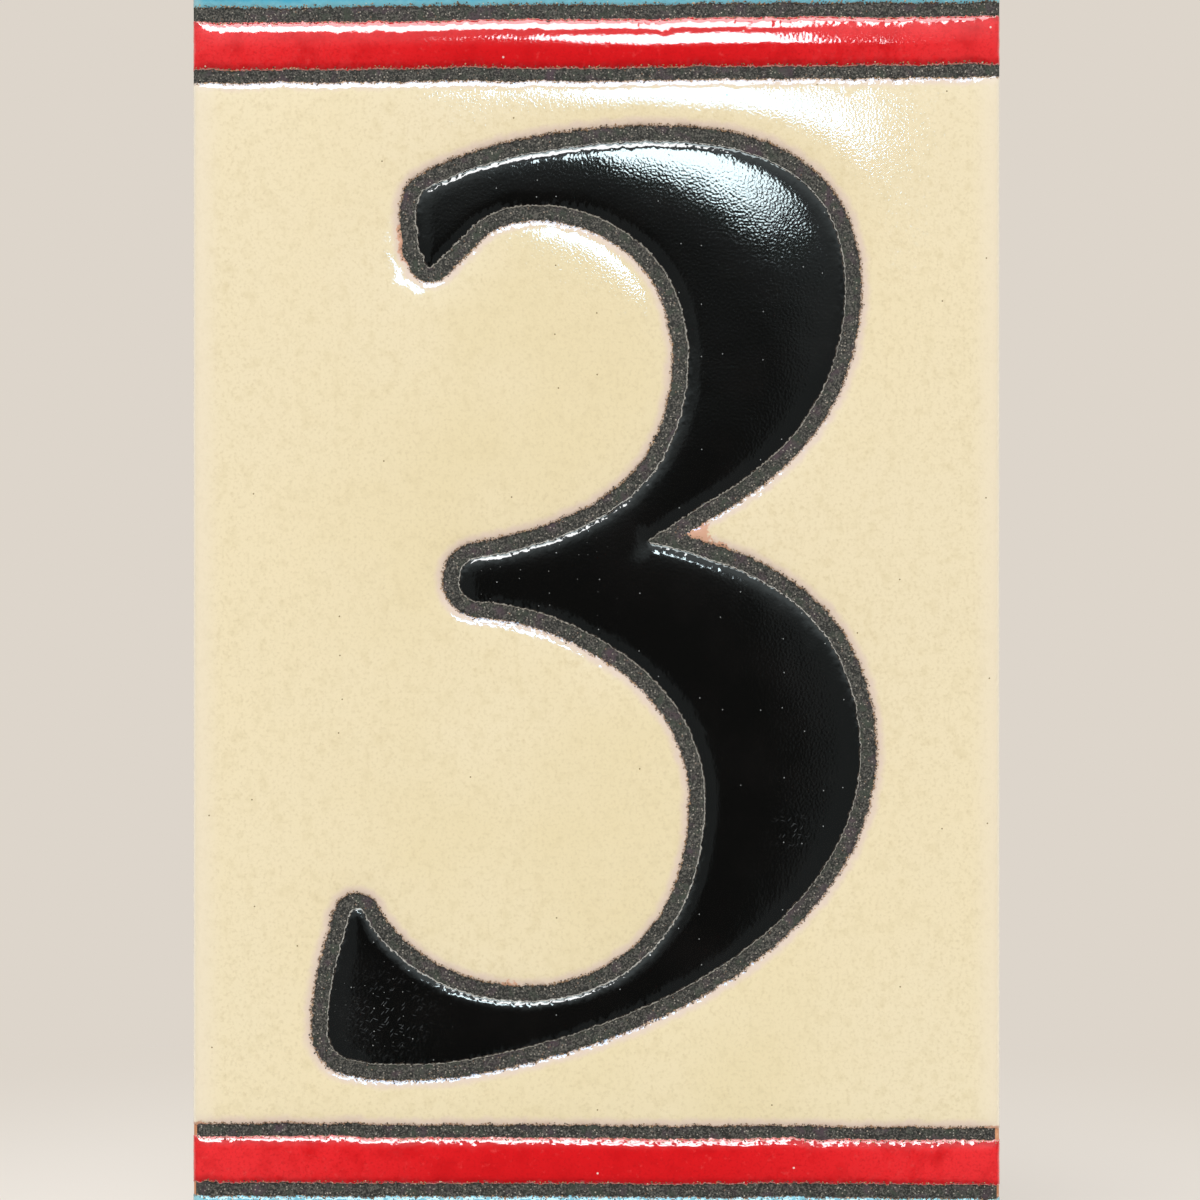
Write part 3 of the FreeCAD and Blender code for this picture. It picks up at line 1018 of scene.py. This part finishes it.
def make_stage():
    """A pale floor that fades into the pale surroundings."""
    material = bpy.data.materials.new("pale_floor")
    material.use_nodes = True
    tree = material.node_tree
    tree.nodes.clear()
    place = add(tree, "ShaderNodeTexCoord").outputs["Object"]
    reach = add(tree, "ShaderNodeVectorMath", {0: place}, operation="LENGTH").outputs["Value"]
    far = add(tree, "ShaderNodeMapRange", {"Value": reach, "From Min": 0.05, "From Max": 0.22},
              interpolation_type="SMOOTHSTEP").outputs["Result"]
    lit = add(tree, "ShaderNodeBsdfDiffuse", {"Color": linear("#F1ECE4")})
    pale = add(tree, "ShaderNodeEmission", {"Color": linear(BACKGROUND), "Strength": 1.0})
    mixed = add(tree, "ShaderNodeMixShader", {0: far, 1: lit.outputs[0], 2: pale.outputs[0]})
    add(tree, "ShaderNodeOutputMaterial", {"Surface": mixed.outputs[0]})
    floor = flat_card("floor", [(-4, -4, 0), (4, -4, 0), (4, 4, 0), (-4, 4, 0)], material)
    floor.location.z = low.z
    floor.visible_glossy = False


def flat_card(name, corners, material):
    """One flat face of the stage, in metres."""
    mesh = bpy.data.meshes.new(name)
    mesh.from_pydata(corners, [], [tuple(range(len(corners)))])
    mesh.materials.append(material)
    card = bpy.data.objects.new(name, mesh)
    bpy.context.scene.collection.objects.link(card)
    return card


def make_world():
    """Pale wherever it is seen, and a soft fill, stronger from the right, where it only lights.
    In front of the tile the gloss mirrors a dim room: darkest low down, grey-green at the sides,
    and a bright ceiling that only the steep lips of the glazes catch."""
    world = bpy.data.worlds.new("pale_room")
    bpy.context.scene.world = world
    world.use_nodes = True
    tree = world.node_tree
    tree.nodes.clear()
    ray = add(tree, "ShaderNodeLightPath").outputs
    way = add(tree, "ShaderNodeTexCoord").outputs["Generated"]
    across, back, up = add(tree, "ShaderNodeSeparateXYZ", {0: way}).outputs
    aside = add(tree, "ShaderNodeMath", {0: across}, operation="ABSOLUTE").outputs["Value"]
    walls = add(tree, "ShaderNodeMapRange", {"Value": aside, "From Min": 0.075, "From Max": 0.14,
                                             "To Min": 0.03, "To Max": 0.13},
                interpolation_type="SMOOTHSTEP")
    overhead = add(tree, "ShaderNodeMapRange", {"Value": up, "From Min": 0.0, "From Max": 0.6,
                                                "To Max": 0.55}, interpolation_type="SMOOTHSTEP")
    ceiling = add(tree, "ShaderNodeMapRange", {"Value": up, "From Min": 0.84, "From Max": 0.89,
                                               "To Max": 5.0}, interpolation_type="SMOOTHSTEP")
    dim = add(tree, "ShaderNodeMath", {0: walls.outputs["Result"], 1: overhead.outputs["Result"]},
              operation="ADD").outputs["Value"]
    dim = add(tree, "ShaderNodeMath", {0: dim, 1: ceiling.outputs["Result"]},
              operation="ADD").outputs["Value"]
    behind = add(tree, "ShaderNodeMapRange", {"Value": back, "From Min": 0.1, "From Max": 0.4})
    seen = add(tree, "ShaderNodeMath", {0: ray["Is Camera Ray"], 1: ray["Is Transmission Ray"]},
               operation="MAXIMUM").outputs["Value"]
    backdrop = add(tree, "ShaderNodeMath", {0: seen, 1: behind.outputs["Result"]},
                   operation="MAXIMUM").outputs["Value"]
    sideways = add(tree, "ShaderNodeMapRange", {"Value": across, "From Min": -1.0, "From Max": 1.0,
                                                "To Min": 0.5, "To Max": 0.9}).outputs["Result"]
    fill = add(tree, "ShaderNodeBackground", {"Color": linear("#FFFFFF"), "Strength": sideways})
    room = add(tree, "ShaderNodeBackground", {"Color": linear("#D3E1E2"), "Strength": dim})
    pale = add(tree, "ShaderNodeBackground", {"Color": linear(BACKGROUND), "Strength": 1.0})
    mirrored = add(tree, "ShaderNodeMixShader", {0: backdrop, 1: room.outputs[0], 2: pale.outputs[0]})
    direct = add(tree, "ShaderNodeMath", {0: seen, 1: ray["Is Glossy Ray"]},
                 operation="MAXIMUM").outputs["Value"]
    sky = add(tree, "ShaderNodeMixShader", {0: direct, 1: fill.outputs[0], 2: mirrored.outputs[0]})
    add(tree, "ShaderNodeOutputWorld", {"Surface": sky.outputs[0]})


def make_window():
    """A skewed pane of daylight in front of the tile, above it and to the right. Only the gloss
    of the glazes shows it."""
    material = bpy.data.materials.new("daylight")
    material.use_nodes = True
    tree = material.node_tree
    tree.nodes.clear()
    daylight = add(tree, "ShaderNodeEmission", {"Color": linear("#E4F8FD"), "Strength": 12.0})
    add(tree, "ShaderNodeOutputMaterial", {"Surface": daylight.outputs[0]})
    depth = -0.35
    corners = [(-0.022, depth, 0.165), (-0.006, depth, 0.20), (0.040, depth, 0.20),
               (0.054, depth, 0.096), (0.008, depth, 0.108)]
    pane = flat_card("window", corners, material)
    pane.visible_camera = False
    pane.visible_diffuse = False
    pane.visible_shadow = False


def make_softbox():
    """A white softbox high in front of the tile and a little to the left, which draws the bright
    rows along the upper lips of the glazes."""
    place = Vector((-0.12, -0.66, 0.76))
    across, up = 0.48, 0.40
    radiance = 9.5
    lamp = bpy.data.lights.new("high_softbox", "AREA")
    lamp.shape = "RECTANGLE"
    lamp.size = across
    lamp.size_y = up
    lamp.energy = radiance * math.pi * across * up
    stand = bpy.data.objects.new("high_softbox", lamp)
    stand.location = place
    stand.rotation_euler = (-place).to_track_quat("-Z", "Y").to_euler()
    bpy.context.scene.collection.objects.link(stand)


def make_camera():
    """Straight on, framed as the photograph: 111 mm across the frame at the face."""
    photo_side = 1200
    tile_left, tile_right = 192.0, 1001.0
    middle_up = 603.0
    scale = 2 * HALF_WIDTH / (tile_right - tile_left)
    camera = bpy.data.cameras.new("camera")
    camera.lens = 85
    camera.sensor_width = 36
    stand = bpy.data.objects.new("camera", camera)
    distance = photo_side * scale * camera.lens / camera.sensor_width
    across = (photo_side / 2 - (tile_left + tile_right) / 2) * scale
    up = (middle_up - photo_side / 2) * scale
    stand.location = Vector((across, FACE - 0.45 - distance, up)) * MM
    stand.rotation_euler = (math.pi / 2, 0, 0)
    bpy.context.scene.collection.objects.link(stand)
    bpy.context.scene.camera = stand


make_clay()
outline, glazes = make_glazes()
make_grit(make_lines(outline), glazes)
make_stage()
make_world()
make_window()
make_softbox()
make_camera()
bpy.context.scene.view_settings.view_transform = "Standard"
